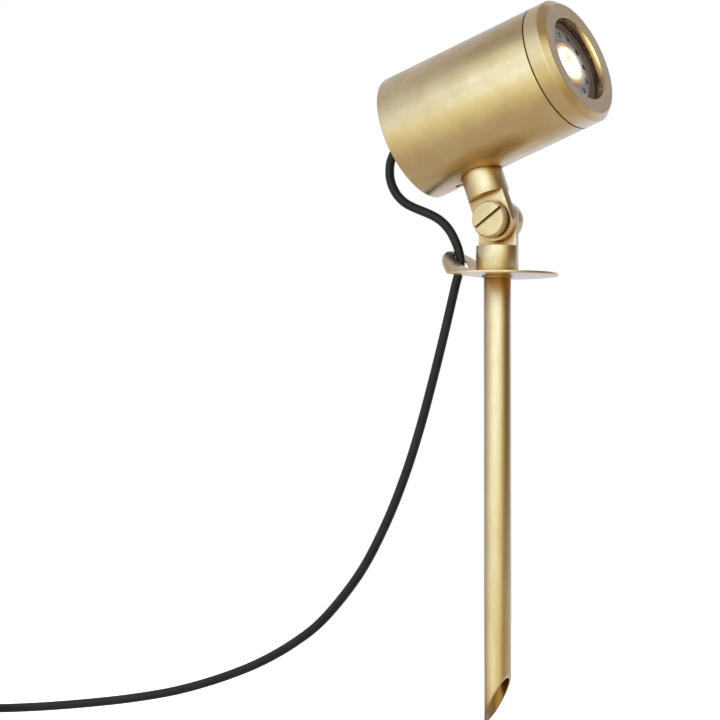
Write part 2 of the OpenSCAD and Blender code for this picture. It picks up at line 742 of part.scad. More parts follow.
// Strap round all the turns of the coil, on its far side
module coil_tie() {
    gap = 0.4;
    low = coil_inner_r - turn_pitch / 8 - cord_r - gap;
    high = coil_outer_r + cord_r + gap;
    tall = cord_d + turn_pitch + 2 * gap;
    color("#2c2c30") translate([coil_centre.x, coil_centre.y, coil_z - cord_r - gap]) rotate([0, 0, 250])
        translate([low, tie_w / 2, 0]) rotate([90, 0, 0]) linear_extrude(tie_w) difference() {
            translate([-tie_t, -tie_t]) square([high - low + 2 * tie_t, tall + 2 * tie_t]);
            square([high - low, tall]);
        }
}

// Frame at the lead's far end, with +X along the lead
module on_lead_end() {
    translate(coil_end) rotate([0, 0, atan2(coil_out.y, coil_out.x)]) children();
}

module lead_cores() {
    color("#7a4a34") on_lead_end() for (side = [-1, 1]) translate([0, side * (core_d / 2 + loose), 0])
        rotate([0, 90, 0]) cylinder(d = core_d, h = core_len);
}

// Crimped sleeves on the ends of the cores
module core_ferrules() {
    color(steel) on_lead_end() for (side = [-1, 1]) translate([core_len, side * (core_d / 2 + loose), 0])
        rotate([0, 90, 0]) cylinder(d = core_d * 0.8, h = ferrule_len);
}

body_tube();
gland_body();
gland_nut();
gland_seal();
lead_tail();
lamp_leads();
holder_bracket();
bracket_screws();
lampholder();
holder_screws();
lamp_shell();
lamp_face();
lamp_lens();
led_board();
led_chip();
lamp_pins();
grub_screw();
stem_screw();
upper_knuckle();
bezel_seal();
bezel();
lens_glass();
lens_gasket();
clamp_washer();
clamp_screw();
clamp_nut();
lower_knuckle();
flange();
spike_washer();
knuckle_stud();
spike_plug();
spike_tube();
lead_upper();
lead_lower();
lead_coil();
coil_tie();
lead_cores();
core_ferrules();
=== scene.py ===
"""Brass garden spotlight on a ground spike: its finishes, lead and details, in a plain studio.

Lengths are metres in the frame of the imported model. Functions that take millimetres say so.
"""

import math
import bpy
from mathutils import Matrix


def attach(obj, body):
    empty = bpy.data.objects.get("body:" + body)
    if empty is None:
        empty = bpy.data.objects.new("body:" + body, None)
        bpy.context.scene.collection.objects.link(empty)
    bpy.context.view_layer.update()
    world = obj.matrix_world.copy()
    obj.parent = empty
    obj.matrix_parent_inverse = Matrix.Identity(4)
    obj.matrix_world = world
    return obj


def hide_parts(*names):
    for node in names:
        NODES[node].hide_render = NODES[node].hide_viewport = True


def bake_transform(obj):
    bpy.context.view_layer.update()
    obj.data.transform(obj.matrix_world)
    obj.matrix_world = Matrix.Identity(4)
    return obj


bl_info = {
    "name": "Landscape spotlight",
    "version": (1, 0, 0),
    "blender": (4, 5, 0),
    "location": "3D View > Sidebar > Spotlight",
    "description": "Dresses a brass spike spotlight with its lead and sets it in a plain studio",
    "category": "Object",
}

import bpy
import numpy as np
from mathutils import Vector

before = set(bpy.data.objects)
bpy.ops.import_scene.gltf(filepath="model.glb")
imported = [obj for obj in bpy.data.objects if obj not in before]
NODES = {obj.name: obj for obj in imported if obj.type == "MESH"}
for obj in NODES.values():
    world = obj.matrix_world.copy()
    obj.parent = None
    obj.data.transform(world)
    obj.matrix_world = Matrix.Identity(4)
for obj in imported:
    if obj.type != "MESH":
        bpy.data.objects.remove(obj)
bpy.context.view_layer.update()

MM = 0.001
FLOOR_Z = -0.222  # level with the tip of the spike

# How the head sits on its pivot, in mm: the pivot's height, the head's axis above it, and the back
# face behind the stem
TILT = math.radians(20.7)
PIVOT_Z = 28.0
AXIS_RISE = 57.25
STEM_BACK = 29.1

# The thread on the front ring's spigot, in mm
SPIGOT_R = 29.2
THREAD_PITCH = 1.5
THREAD_DEPTH = 0.55

# Where the camera stands, its level direction and how far it looks up
CAMERA_AT = (1.1762, -2.2071, -0.1573)
CAMERA_WAY = (-0.4943, 0.8693)
CAMERA_PITCH = math.radians(2.643)
CAMERA_BEARING = 29.6  # of the wall behind it, in degrees from -Y


# Colours and nodes


def linear(hex_colour):
    """The linear red, green and blue of an sRGB hex value."""
    parts = [int(hex_colour[i : i + 2], 16) / 255 for i in (1, 3, 5)]
    return tuple(c / 12.92 if c <= 0.04045 else ((c + 0.055) / 1.055) ** 2.4 for c in parts)


def add(tree, kind, values=None, stops=(), **settings):
    """Adds a node, sets its properties, and gives each input a value or a link. stops are the
    places and colours of a ramp, in rising order. A colour is red, green and blue, and opaque."""
    made = tree.nodes.new(kind)
    for key, value in settings.items():
        setattr(made, key, value)
    for key, value in (values or {}).items():
        entry = made.inputs[key]
        if isinstance(value, bpy.types.NodeSocket):
            tree.links.new(value, entry)
        else:
            entry.default_value = (*value, 1.0) if entry.type == "RGBA" else value
    for at, (place, colour) in enumerate(stops):
        if at > 1:  # a ramp starts with two stops
            made.color_ramp.elements.new(place)
        made.color_ramp.elements[at].position = place
        made.color_ramp.elements[at].color = (*colour, 1.0)
    return made


def new_material(name):
    """An empty node material, and its tree."""
    made = bpy.data.materials.new(name)
    made.use_nodes = True
    made.node_tree.nodes.clear()
    return made, made.node_tree


# Places


def head_place(p):
    """Carries points in mm from the head's own frame to the row frame. In the head's frame X
    points to the stem and Z forward from the back face. The points are moved to the pivot and
    turned by the tilt."""
    along, up = p[..., 2] - STEM_BACK, AXIS_RISE - p[..., 0]
    c, s = math.cos(TILT), math.sin(TILT)
    return MM * np.stack([along * c - up * s, p[..., 1], PIVOT_Z + along * s + up * c], -1)


# Meshes


def grid_object(name, points, wrap_u=False, wrap_v=False):
    """A mesh from a grid of points, one quad between each four neighbours. The grid joins up in
    either direction where wrap_u or wrap_v is true."""
    rows, columns = points.shape[:2]
    i = np.arange(rows if wrap_u else rows - 1)[:, None]
    j = np.arange(columns if wrap_v else columns - 1)[None, :]
    i2, j2 = (i + 1) % rows, (j + 1) % columns
    corners = [i * columns + j, i2 * columns + j, i2 * columns + j2, i * columns + j2]
    return mesh_object(name, points.reshape(-1, 3), np.stack(corners, -1).reshape(-1, 4))


def mesh_object(name, points, faces, flat=(), uv=None):
    """A mesh object from points, an array of smooth quads, and a list of flat faces. uv is given by
    point, and each corner takes its point's."""
    mesh = bpy.data.meshes.new(name)
    mesh.from_pydata(points.tolist(), [], faces.tolist() + [list(f) for f in flat])
    mesh.polygons.foreach_set("use_smooth", np.arange(len(mesh.polygons)) < len(faces))
    if uv is not None:
        corner = np.zeros(len(mesh.loops), np.int32)
        mesh.loops.foreach_get("vertex_index", corner)
        layer = mesh.uv_layers.new(name="surface")
        layer.data.foreach_set("uv", uv[corner].astype(np.float32).ravel())
    mesh.update()
    made = bpy.data.objects.new(name, mesh)
    bpy.context.scene.collection.objects.link(made)
    return made


def rounded_profile(corners, fillets):
    """A closed profile with its corners rounded. Each corner becomes a parabola of seven points
    between two that lie its fillet away along both sides, with one more point just beyond each, so
    that the flats between corners keep a flat shading. corners and fillets are in mm."""
    here = np.array(corners, float)
    cut = np.array(fillets, float)[:, None]
    back, on = np.roll(here, 1, 0) - here, np.roll(here, -1, 0) - here
    back /= np.linalg.norm(back, axis=1)[:, None]
    on /= np.linalg.norm(on, axis=1)[:, None]
    u = np.linspace(0, 1, 7)[None, :, None]
    first, last, middle = (here + cut * back)[:, None], (here + cut * on)[:, None], here[:, None]
    arc = (1 - u) ** 2 * first + 2 * u * (1 - u) * middle + u**2 * last
    beyond = 0.6 * cut[:, None]
    return np.concatenate(
        [first + beyond * back[:, None], arc, last + beyond * on[:, None]], 1
    ).reshape(-1, 2)


def turned_ring(name, profile, columns, thread):
    """A closed profile of radius and height carried once round the head's axis. thread gives the
    lowest and highest z, the radius, the pitch and the depth of a screw thread in mm: there the
    radius is less by the depth times half of one minus the cosine of the winding angle, and the
    depth grows from nothing over one pitch at both ends."""
    turn = 2 * np.pi * np.arange(columns) / columns
    radius = np.repeat(profile[:, 0, None], columns, 1)
    z = np.repeat(profile[:, 1, None], columns, 1)
    low, high, crest, pitch, depth = thread
    winding = 2 * np.pi * z / pitch - turn[None, :]
    share = np.clip((z - low) / pitch, 0, 1) * np.clip((high - z) / pitch, 0, 1)
    cut = depth * share * (1 - np.cos(winding)) / 2
    radius = np.where(np.abs(radius - crest) < 0.01, radius - cut, radius)
    points = np.stack([radius * np.cos(turn), radius * np.sin(turn), z], -1)
    # The rows are turned round so that the faces point outwards
    return grid_object(name, head_place(points)[::-1], wrap_u=True, wrap_v=True)


def dress(node, material, edge=0.0):
    """Gives a CAD node its finish. Where edge is above nothing, its loose triangles are joined,
    flat faces made whole, and every corner sharper than 28 degrees rounded by edge, in mm."""
    piece = NODES[node]
    piece.data.materials.clear()
    piece.data.materials.append(material)
    if edge:
        piece.data.polygons.foreach_set("use_smooth", np.ones(len(piece.data.polygons), bool))
        weld = piece.modifiers.new("join", "WELD")
        weld.merge_threshold = 0.002 * MM
        whole = piece.modifiers.new("whole_faces", "DECIMATE")
        whole.decimate_type = "DISSOLVE"
        whole.angle_limit = math.radians(0.6)
        bevel = piece.modifiers.new("rounded_edges", "BEVEL")
        bevel.width = edge * MM
        bevel.segments = 3
        bevel.limit_method = "ANGLE"
        bevel.angle_limit = math.radians(28)
        bevel.harden_normals = True
        bevel.use_clamp_overlap = True
    return piece


def finish_piece(piece, material, body, replaced):
    """Gives a new piece its material and its body, and hides the nodes that it stands for."""
    piece.data.materials.append(material)
    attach(piece, body)
    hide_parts(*replaced)


# Finishes


def head_coordinates(tree):
    """A point's place in the head's own frame, in metres from the middle of the back face: X up
    from the axis, Y as in the row frame, Z forward."""
    return add(
        tree, "ShaderNodeMapping",
        {
            "Vector": add(tree, "ShaderNodeTexCoord").outputs["Object"],
            "Location": tuple(head_place(np.zeros(3))),
            "Rotation": (0.0, math.pi / 2 - TILT, 0.0),
            "Scale": (-1.0, 1.0, 1.0),
        },
        vector_type="TEXTURE",
    ).outputs["Vector"]


def distance_share(tree, local, centre_mm, reach_mm):
    """How far a point is from a centre, across the head's axis, as a share of the reach on each
    side: 1 on an ellipse with these two half widths."""
    centre = (centre_mm[0] * MM, centre_mm[1] * MM, 0.0)
    over = (1 / (reach_mm[0] * MM), 1 / (reach_mm[1] * MM), 0.0)
    away = add(
        tree, "ShaderNodeVectorMath", {0: local, 1: centre}, operation="SUBTRACT"
    ).outputs[0]
    shares = add(tree, "ShaderNodeVectorMath", {0: away, 1: over}, operation="MULTIPLY").outputs[0]
    return add(tree, "ShaderNodeVectorMath", {0: shares}, operation="LENGTH").outputs["Value"]


def seen_directly(tree):
    """1 for rays that come from the camera, or by way of metal or glass, and 0 for the rest."""
    path = add(tree, "ShaderNodeLightPath").outputs
    seen = path["Is Camera Ray"]
    for ray in ("Is Glossy Ray", "Is Transmission Ray"):
        seen = add(
            tree, "ShaderNodeMath", {0: seen, 1: path[ray]}, operation="MAXIMUM"
        ).outputs[0]
    return seen


def satin_brass(name, look, streak=1.0, cloud_mm=16.0, bore_mm=0.0, corner_mm=3.2, gap_glow=1.0):
    """Solid brass, bead blasted to a satin and lacquered: a soft broad highlight, a fine grain, and
    faint warmer and duller clouds. streak above one draws the clouds out along the spike's axis.
    Within bore_mm of the head's axis the brass is turned smooth instead. Painted shade darkens and
    browns its corners and gaps over corner_mm, and gap_glow says how much brown light is painted
    into the gaps."""
    made, tree = new_material(name)
    place = add(tree, "ShaderNodeTexCoord").outputs["Object"]
    drawn = add(
        tree, "ShaderNodeMapping", {"Vector": place, "Scale": (1, 1, 1 / streak)}
    ).outputs["Vector"]
    clouds = add(
        tree, "ShaderNodeTexNoise",
        {"Vector": drawn, "Scale": 1 / (cloud_mm * MM), "Detail": 6.0, "Roughness": 0.62},
    ).outputs["Fac"]
    specks = add(
        tree, "ShaderNodeTexNoise",
        {"Vector": drawn, "Scale": 1 / (1.6 * MM), "Detail": 3.0, "Roughness": 0.7},
    ).outputs["Fac"]
    # The blasted grain is finer than this; it is drawn at 0.45 mm so that it shows in the render
    grain = add(
        tree, "ShaderNodeTexNoise",
        {"Vector": place, "Scale": 1 / (0.45 * MM), "Detail": 2.0, "Roughness": 0.6},
    ).outputs["Fac"]
    base = look.colour
    for noise, low, high in ((clouds, 0.36, 0.66), (specks, 0.58, 0.74)):
        share = add(
            tree, "ShaderNodeMapRange",
            {"Value": noise, "From Min": low, "From Max": high, "To Max": look.mottle},
        ).outputs["Result"]
        base = add(
            tree, "ShaderNodeMix", {"Factor": share, "A": base, "B": look.aged}, data_type="RGBA"
        ).outputs["Result"]
    # Painted shade: corners and gaps grow darker and browner the more closed in they are, as shade
    # and the brass's reflection of itself would make them
    openness = add(
        tree, "ShaderNodeAmbientOcclusion", {"Distance": corner_mm * MM}, samples=8
    ).outputs["AO"]
    darkest = tuple(c * 0.3 for c in look.corner_shade)
    corners = add(
        tree, "ShaderNodeValToRGB",
        {"Fac": openness},
        [(0.05, darkest), (0.5, look.corner_shade), (0.95, linear("#FFFFFF"))],
    ).outputs["Color"]
    base = add(
        tree, "ShaderNodeMix",
        {"Factor": 1.0, "A": base, "B": corners},
        data_type="RGBA", blend_type="MULTIPLY",
    ).outputs["Result"]
    # Painted light: the narrowest gaps glow brown, standing in for what is left of the light after
    # many bounces between brass and brass
    painted_gap_light = add(
        tree, "ShaderNodeValToRGB",
        {"Fac": openness},
        [(0.0, linear("#653C16")), (0.24, linear("#000000"))],
    ).outputs["Color"]
    rough = add(
        tree, "ShaderNodeMapRange",
        {
            "Value": clouds,
            "From Min": 0.3,
            "From Max": 0.7,
            "To Min": look.roughness - 0.035,
            "To Max": look.roughness + 0.035,
        },
    ).outputs["Result"]
    if bore_mm:
        turned = 0.19
        share = distance_share(tree, head_coordinates(tree), (0.0, 0.0), (bore_mm, bore_mm))
        outside = add(
            tree, "ShaderNodeMath", {0: share, 1: 1.0}, operation="GREATER_THAN"
        ).outputs[0]
        rough = add(
            tree, "ShaderNodeMix", {"Factor": outside, "A": turned, "B": rough}, data_type="FLOAT"
        ).outputs["Result"]
    bump = add(
        tree, "ShaderNodeBump", {"Height": grain, "Strength": look.grain, "Distance": 0.02 * MM}
    ).outputs["Normal"]
    shader = add(
        tree, "ShaderNodeBsdfPrincipled",
        {
            "Base Color": base,
            "Metallic": 1.0,
            "Roughness": rough,
            "Normal": bump,
            "Emission Color": painted_gap_light,
            "Emission Strength": gap_glow,
        },
    )
    add(tree, "ShaderNodeOutputMaterial", {"Surface": shader.outputs[0]})
    return made


def speckled(name, light, dark, size_mm, roughness, metallic=0.0, bump_mm=0.01):
    """A plain moulded, cast or plated finish: two near tones in a fine speckle, with a shallow
    relief of the same grain."""
    made, tree = new_material(name)
    place = add(tree, "ShaderNodeTexCoord").outputs["Object"]
    grain = add(
        tree, "ShaderNodeTexNoise",
        {"Vector": place, "Scale": 1 / (size_mm * MM), "Detail": 4.0, "Roughness": 0.6},
    ).outputs["Fac"]
    share = add(
        tree, "ShaderNodeMapRange",
        {"Value": grain, "From Min": 0.35, "From Max": 0.65, "To Max": 0.5},
    ).outputs["Result"]
    tone = add(
        tree, "ShaderNodeMix",
        {"Factor": share, "A": linear(light), "B": linear(dark)},
        data_type="RGBA",
    ).outputs["Result"]
    bump = add(
        tree, "ShaderNodeBump", {"Height": grain, "Strength": 0.4, "Distance": bump_mm * MM}
    ).outputs["Normal"]
    shader = add(
        tree, "ShaderNodeBsdfPrincipled",
        {"Base Color": tone, "Roughness": roughness, "Metallic": metallic, "Normal": bump},
    )
    add(tree, "ShaderNodeOutputMaterial", {"Surface": shader.outputs[0]})
    return made


def rubber_jacket(name, look):
    """Extruded black rubber: semi-matt, with a faint dusty cloud here and there and shallow lines
    drawn out along the lead, which the surface coordinates follow in metres."""
    made, tree = new_material(name)
    along = add(tree, "ShaderNodeUVMap", uv_map="surface").outputs["UV"]
    stretched = add(
        tree, "ShaderNodeMapping", {"Vector": along, "Scale": (1 / (30 * MM), 1 / (0.8 * MM), 1.0)}
    ).outputs["Vector"]
    lines = add(tree, "ShaderNodeTexNoise", {"Vector": stretched, "Scale": 1.0}).outputs["Fac"]
    place = add(tree, "ShaderNodeTexCoord").outputs["Object"]
    dust = add(
        tree, "ShaderNodeTexNoise", {"Vector": place, "Scale": 1 / (9 * MM), "Detail": 3.0}
    ).outputs["Fac"]
    share = add(
        tree, "ShaderNodeMapRange",
        {"Value": dust, "From Min": 0.45, "From Max": 0.75, "To Max": 0.5},
    ).outputs["Result"]
    tone = add(
        tree, "ShaderNodeMix",
        {"Factor": share, "A": look.jacket, "B": look.dusty},
        data_type="RGBA",
    ).outputs["Result"]
    bump = add(
        tree, "ShaderNodeBump", {"Height": lines, "Strength": 0.2, "Distance": 0.01 * MM}
    ).outputs["Normal"]
    shader = add(
        tree, "ShaderNodeBsdfPrincipled",
        {
            "Base Color": tone,
            "Roughness": 0.42,
            "IOR": 1.5,
            "Specular IOR Level": 0.33,
            "Specular Tint": linear("#FFF7EC"),
            "Normal": bump,
        },
    )
    add(tree, "ShaderNodeOutputMaterial", {"Surface": shader.outputs[0]})
    return made


def clear_window(name):
    """Toughened float glass with an anti-glare coat: clear, smooth, and with most of bare glass's
    reflection taken off. Shadow and diffuse rays go through it, so what lies behind it is lit."""
    made, tree = new_material(name)
    tint = linear("#FBFAF7")
    glass = add(
        tree, "ShaderNodeBsdfPrincipled",
        {"Base Color": tint, "Roughness": 0.01, "IOR": 1.52, "Transmission Weight": 1.0},
    )
    bent = add(tree, "ShaderNodeBsdfRefraction", {"Color": tint, "Roughness": 0.0, "IOR": 1.52})
    coated = add(tree, "ShaderNodeMixShader", {0: 0.78, 1: glass.outputs[0], 2: bent.outputs[0]})
    path = add(tree, "ShaderNodeLightPath").outputs
    through = add(
        tree, "ShaderNodeMath",
        {0: path["Is Shadow Ray"], 1: path["Is Diffuse Ray"]},
        operation="MAXIMUM",
    ).outputs[0]
    clear = add(tree, "ShaderNodeBsdfTransparent", {"Color": linear("#F8F7F6")})
    mixed = add(
        tree, "ShaderNodeMixShader", {0: through, 1: coated.outputs[0], 2: clear.outputs[0]}
    )
    add(tree, "ShaderNodeOutputMaterial", {"Surface": mixed.outputs[0]})
    return made


def lit_lens(name, look):
    """Frosted acrylic optic over the lit source: white in the middle, where the yellow phosphor
    shows as a soft spot, and warm and dim at its rim, most of all above and below."""
    made, tree = new_material(name)
    local = head_coordinates(tree)
    shares = [
        add(
            tree, "ShaderNodeValToRGB",
            {"Fac": distance_share(tree, local, centre_mm, reach_mm)},
            [(place, linear(colour)) for place, colour in stops],
        ).outputs["Color"]
        for centre_mm, reach_mm, stops in (
            # The glow, as shares of the middle's brightness: the rim is dim and keeps its colour
            (
                (0.0, 0.0), (11.4, 14.5),
                [
                    (0.0, "#FFFFFC"), (0.5, "#FFF9EC"), (0.66, "#999381"), (0.76, "#7C6E55"),
                    (0.8, "#615035"), (1.0, "#382F24"),
                ],
            ),
            # What its upper and lower ends keep of that
            ((0.0, 0.0), (11.4, 60.0), [(0.6, "#FFFFFF"), (0.8, "#DACEB5"), (0.96, "#E7CEAA")]),
            # And the phosphor's spot
            ((2.8, -0.3), (6.8, 5.6), [(0.38, "#5C6143"), (0.5, "#636559"), (0.6, "#FFFFFF")]),
        )
    ]
    colour = shares[0]
    for share in shares[1:]:
        colour = add(
            tree, "ShaderNodeMix",
            {"Factor": 1.0, "A": colour, "B": share},
            data_type="RGBA", blend_type="MULTIPLY",
        ).outputs["Result"]
    shader = add(
        tree, "ShaderNodeBsdfPrincipled",
        {
            "Base Color": linear("#3A3632"),
            "Roughness": 0.5,
            "IOR": 1.49,
            "Specular IOR Level": 0.2,
            "Emission Color": colour,
            "Emission Strength": look.glow,
        },
    )
    add(tree, "ShaderNodeOutputMaterial", {"Surface": shader.outputs[0]})
    return made


def vented_face(name):
    """Moulded grey polycarbonate, semi-matt. Its darker rim is partly its colour and partly painted
    shade, behind a thin painted highlight on the edge. The walls of its vents are painted near
    black as shade, and round the lens a painted glow stands in for the lamp's light falling on it."""
    made, tree = new_material(name)
    place = add(tree, "ShaderNodeTexCoord").outputs
    grain = add(
        tree, "ShaderNodeTexNoise",
        {"Vector": place["Object"], "Scale": 1 / (0.8 * MM), "Detail": 4.0},
    ).outputs["Fac"]
    ahead = add(
        tree, "ShaderNodeVectorMath",
        {0: place["Normal"], 1: (math.cos(TILT), 0.0, math.sin(TILT))},
        operation="DOT_PRODUCT",
    ).outputs["Value"]
    # 1 on faces that look forward, and 0 on the walls of the vents
    front = add(tree, "ShaderNodeMath", {0: ahead, 1: 0.75}, operation="GREATER_THAN").outputs[0]
    local = head_coordinates(tree)
    grey, edge, rim = linear("#857A75"), linear("#BEABA1"), linear("#6A605C")
    # A darker rim, partly its colour and partly painted shade, behind a thin painted highlight at
    # its edge
    rings = add(
        tree, "ShaderNodeValToRGB",
        {"Fac": distance_share(tree, local, (0.0, 0.0), (21.0, 21.0))},
        [(0.862, grey), (0.87, edge), (0.885, edge), (0.893, rim)],
    ).outputs["Color"]
    tone = add(
        tree, "ShaderNodeMix",
        {"Factor": grain, "A": rings, "B": linear("#E2E1E2")},
        data_type="RGBA", blend_type="MULTIPLY",
    ).outputs["Result"]
    # Painted shade: the walls of the vents are near black
    tone = add(
        tree, "ShaderNodeMix",
        {"Factor": front, "A": linear("#191615"), "B": tone},
        data_type="RGBA",
    ).outputs["Result"]
    # Painted light: a pale glow beside the lens, set off to one side, for the lamp's light falling
    # on the face
    painted_lamp_spill = add(
        tree, "ShaderNodeValToRGB",
        {"Fac": distance_share(tree, local, (0.0, 6.0), (12.0, 12.0))},
        [(0.6, linear("#A09B93")), (0.95, linear("#000000"))],
    ).outputs["Color"]
    lit = add(
        tree, "ShaderNodeMix",
        {"Factor": front, "A": linear("#000000"), "B": painted_lamp_spill},
        data_type="RGBA",
    ).outputs["Result"]
    shader = add(
        tree, "ShaderNodeBsdfPrincipled",
        {
            "Base Color": tone,
            "Roughness": 0.6,
            "Specular IOR Level": 0.2,
            "Emission Color": lit,
            "Emission Strength": 1.0,
        },
    )
    add(tree, "ShaderNodeOutputMaterial", {"Surface": shader.outputs[0]})
    return made


def lit_chip(name, look):
    """Phosphor over the light source: lit, yellow with a touch of green, and far dimmer than the
    lens that spreads its light."""
    made, tree = new_material(name)
    place = add(tree, "ShaderNodeTexCoord").outputs["Object"]
    grain = add(
        tree, "ShaderNodeTexNoise", {"Vector": place, "Scale": 1 / (0.6 * MM), "Detail": 3.0}
    ).outputs["Fac"]
    powder, glow = [
        add(
            tree, "ShaderNodeMix",
            {"Factor": grain, "A": linear(light), "B": linear(dark)},
            data_type="RGBA",
        ).outputs["Result"]
        for light, dark in (("#F2E36A", "#E6D83C"), ("#F4F29A", "#E8EC6A"))
    ]
    shader = add(
        tree, "ShaderNodeBsdfPrincipled",
        {
            "Base Color": powder,
            "Roughness": 0.5,
            "Emission Color": glow,
            "Emission Strength": look.glow * 0.2,
        },
    )
    add(tree, "ShaderNodeOutputMaterial", {"Surface": shader.outputs[0]})
    return made


# The lead's line

# The lead's centre line in mm: from the gland's mouth, through the tab's hole, down to the floor
ROUTE = [
    (-55.7, 0, 67.5), (-58.8, 0, 64.3), (-60.8, 0, 60.2), (-61.5, 0, 55.9), (-61.2, 0, 51.2),
    (-59.5, 0, 46.4), (-56.5, 0, 42), (-52.2, 0, 38.4), (-47, 0, 35.8), (-41.4, 0, 33.6),
    (-36, 0, 31.2), (-31.2, -0.2, 28.2), (-27.2, -0.4, 24.2), (-24.1, -0.6, 19.4),
    (-21.7, -0.7, 14), (-20.5, -0.8, 8), (-21.5, -0.8, 2), (-23.5, -0.9, -5), (-29.3, -1, -27),
    (-36.1, -1, -51), (-43.8, -1, -76), (-52.6, -1, -100), (-63.7, -1, -124), (-78.3, -1, -148),
    (-98.5, -1, -170.3), (-116, -1, -182.8), (-137, -1, -193.3), (-161, -1, -201.6),
    (-187, -1, -208.1), (-214, -1, -212.3), (-242, -1, -215.2), (-270, -1, -217.3),
    (-297, -1, -218.5), (-316.4, -1, -218.5),
]
TAB_POINT = 19  # the stretch from the head ends here, just under the tab
LEAD_D = 4.6
CORE_D = 1.6
CORES_BARE = 8.0  # length of core that shows at the lead's far end
CORE_GAP = 0.2
JACKET_START = -4.0  # the lead's end in the head: where it comes through the gland,
JACKET_END = 14.0  # where the jacket is stripped,
HOLDER_Z = 33.64  # and where the cores go into the lampholder
PIN_GAP = 5.3
CORE_BOW = 3.0  # how far the cores bow out on their way there

# The coil, in mm and degrees: where it begins and how high its lower layer lies, the gap between
# turns, its least radius, the turning on the lower layer, and the turning in all
COIL_START = (-321.0, -1.0)
LYING_Z = -218.5
TURN_PITCH = 5.25
COIL_INNER = 16.0
TURNS_IN, TURNS_ALL = 1224.0, 2340.0


def route_curve(t):
    """Points on a smooth curve through two points in the gland and then the route's: each stretch
    is a cubic with the slope, at both its ends, of the line between their neighbours. t counts the
    points passed."""
    gland = [[0.0, 0.0, JACKET_START], [0.0, 0.0, JACKET_START - 1]]
    start = head_place(np.array(gland)) / MM
    p = np.vstack([start, np.array(ROUTE, float)])
    p = np.vstack([2 * p[0] - p[1], p, 2 * p[-1] - p[-2]])
    i = np.minimum(t.astype(int), len(p) - 4)
    u = (t - i)[:, None]
    a, b, c, d = p[i], p[i + 1], p[i + 2], p[i + 3]
    return 0.5 * (
        2 * b + (c - a) * u + (2 * a - 5 * b + 4 * c - d) * u**2 + (3 * b - a - 3 * c + d) * u**3
    )


def coil_curve(a):
    """Points on the coil, for an angle a in degrees: a spiral that winds in on the lower layer,
    climbs one layer in half a turn by half of one minus a cosine, and winds out on the upper."""
    outer = COIL_INNER + TURN_PITCH * TURNS_IN / 360
    middle_x, middle_y = COIL_START[0], COIL_START[1] - outer
    b = a - TURNS_IN
    radius = np.where(
        a < TURNS_IN,
        outer - TURN_PITCH * a / 360,
        np.where(
            b < 180,
            COIL_INNER - TURN_PITCH / 360 * b * (1 - b / 180),
            COIL_INNER + TURN_PITCH * (b - 180) / 360,
        ),
    )
    rise = TURN_PITCH * (1 - np.cos(np.radians(np.clip(b, 0, 180)))) / 2
    turn = np.radians(90 + a)
    x, y = middle_x + radius * np.cos(turn), middle_y + radius * np.sin(turn)
    return np.stack([x, y, LYING_Z + rise], -1)


def lengths_along(path):
    """Length of a line through points, from its start to each of them."""
    return np.concatenate([[0], np.cumsum(np.linalg.norm(np.diff(path, axis=0), axis=1))])


def even_points(path, gap):
    """The same line with its points a nearly equal gap apart, by its length from the start."""
    along = lengths_along(path)
    wanted = np.linspace(0, along[-1], max(2, round(along[-1] / gap)) + 1)
    return np.stack([np.interp(wanted, along, path[:, k]) for k in range(3)], -1)


def tube(name, paths, radius, sides, up):
    """Round tubes in one mesh, one along each path: at each point of a path a circle, square to the
    path's direction there, and a flat face over both ends. One more circle close to each end keeps
    the flat face's shading off the side. The surface coordinates are the length along the path and
    the length round the circle."""
    points, faces, flat, uv, first = [], [], [], [], 0
    turn = 2 * np.pi * np.arange(sides) / sides
    for path in paths:
        close = 0.99 * path[[0, -1]] + 0.01 * path[[1, -2]]
        path = np.insert(path, [1, len(path) - 1], close, 0)
        way = np.gradient(path, axis=0)
        way /= np.linalg.norm(way, axis=1)[:, None]
        side = np.cross(way, up)
        side /= np.linalg.norm(side, axis=1)[:, None]
        other = np.cross(way, side)
        circle = np.cos(turn)[:, None] * side[:, None] + np.sin(turn)[:, None] * other[:, None]
        points.append((path[:, None] + radius * circle).reshape(-1, 3))
        n = len(path)
        i, j = np.arange(n - 1)[:, None] * sides + first, np.arange(sides)[None, :]
        j2 = (j + 1) % sides
        faces.append(np.stack([i + j, i + j2, i + sides + j2, i + sides + j], -1).reshape(-1, 4))
        flat.append(range(first + sides - 1, first - 1, -1))
        flat.append(range(first + (n - 1) * sides, first + n * sides))
        round_it = np.broadcast_arrays(lengths_along(path)[:, None], radius * turn)
        uv.append(np.stack(round_it, -1).reshape(-1, 2))
        first += n * sides
    return mesh_object(name, np.vstack(points), np.vstack(faces), flat, np.vstack(uv))


# Sizes and colours to change


class SpotlightBrass(bpy.types.PropertyGroup):
    colour: bpy.props.FloatVectorProperty(
        name="Colour", description="Clean satin brass", subtype="COLOR", size=3, min=0, max=1,
        default=linear("#E7D0A2"),
    )
    aged: bpy.props.FloatVectorProperty(
        name="Aged colour", description="Brass in its duller clouds", subtype="COLOR", size=3,
        min=0, max=1, default=linear("#CDB07C"),
    )
    # The colour of the painted shade in corners and gaps: how much of the brass's colour they keep
    corner_shade: bpy.props.FloatVectorProperty(
        name="Corner share", description="What corners and gaps keep of the brass's colour",
        subtype="COLOR", size=3, min=0, max=1, default=linear("#C5A67C"),
    )
    roughness: bpy.props.FloatProperty(
        name="Roughness", description="How broad the highlight is", subtype="FACTOR", min=0.1,
        max=0.8, default=0.29,
    )
    mottle: bpy.props.FloatProperty(
        name="Mottle", description="How much the clouds and specks show", subtype="FACTOR", min=0,
        max=1, default=0.5,
    )
    grain: bpy.props.FloatProperty(
        name="Grain", description="Depth of the blasted grain", subtype="FACTOR", min=0, max=1,
        default=0.3,
    )


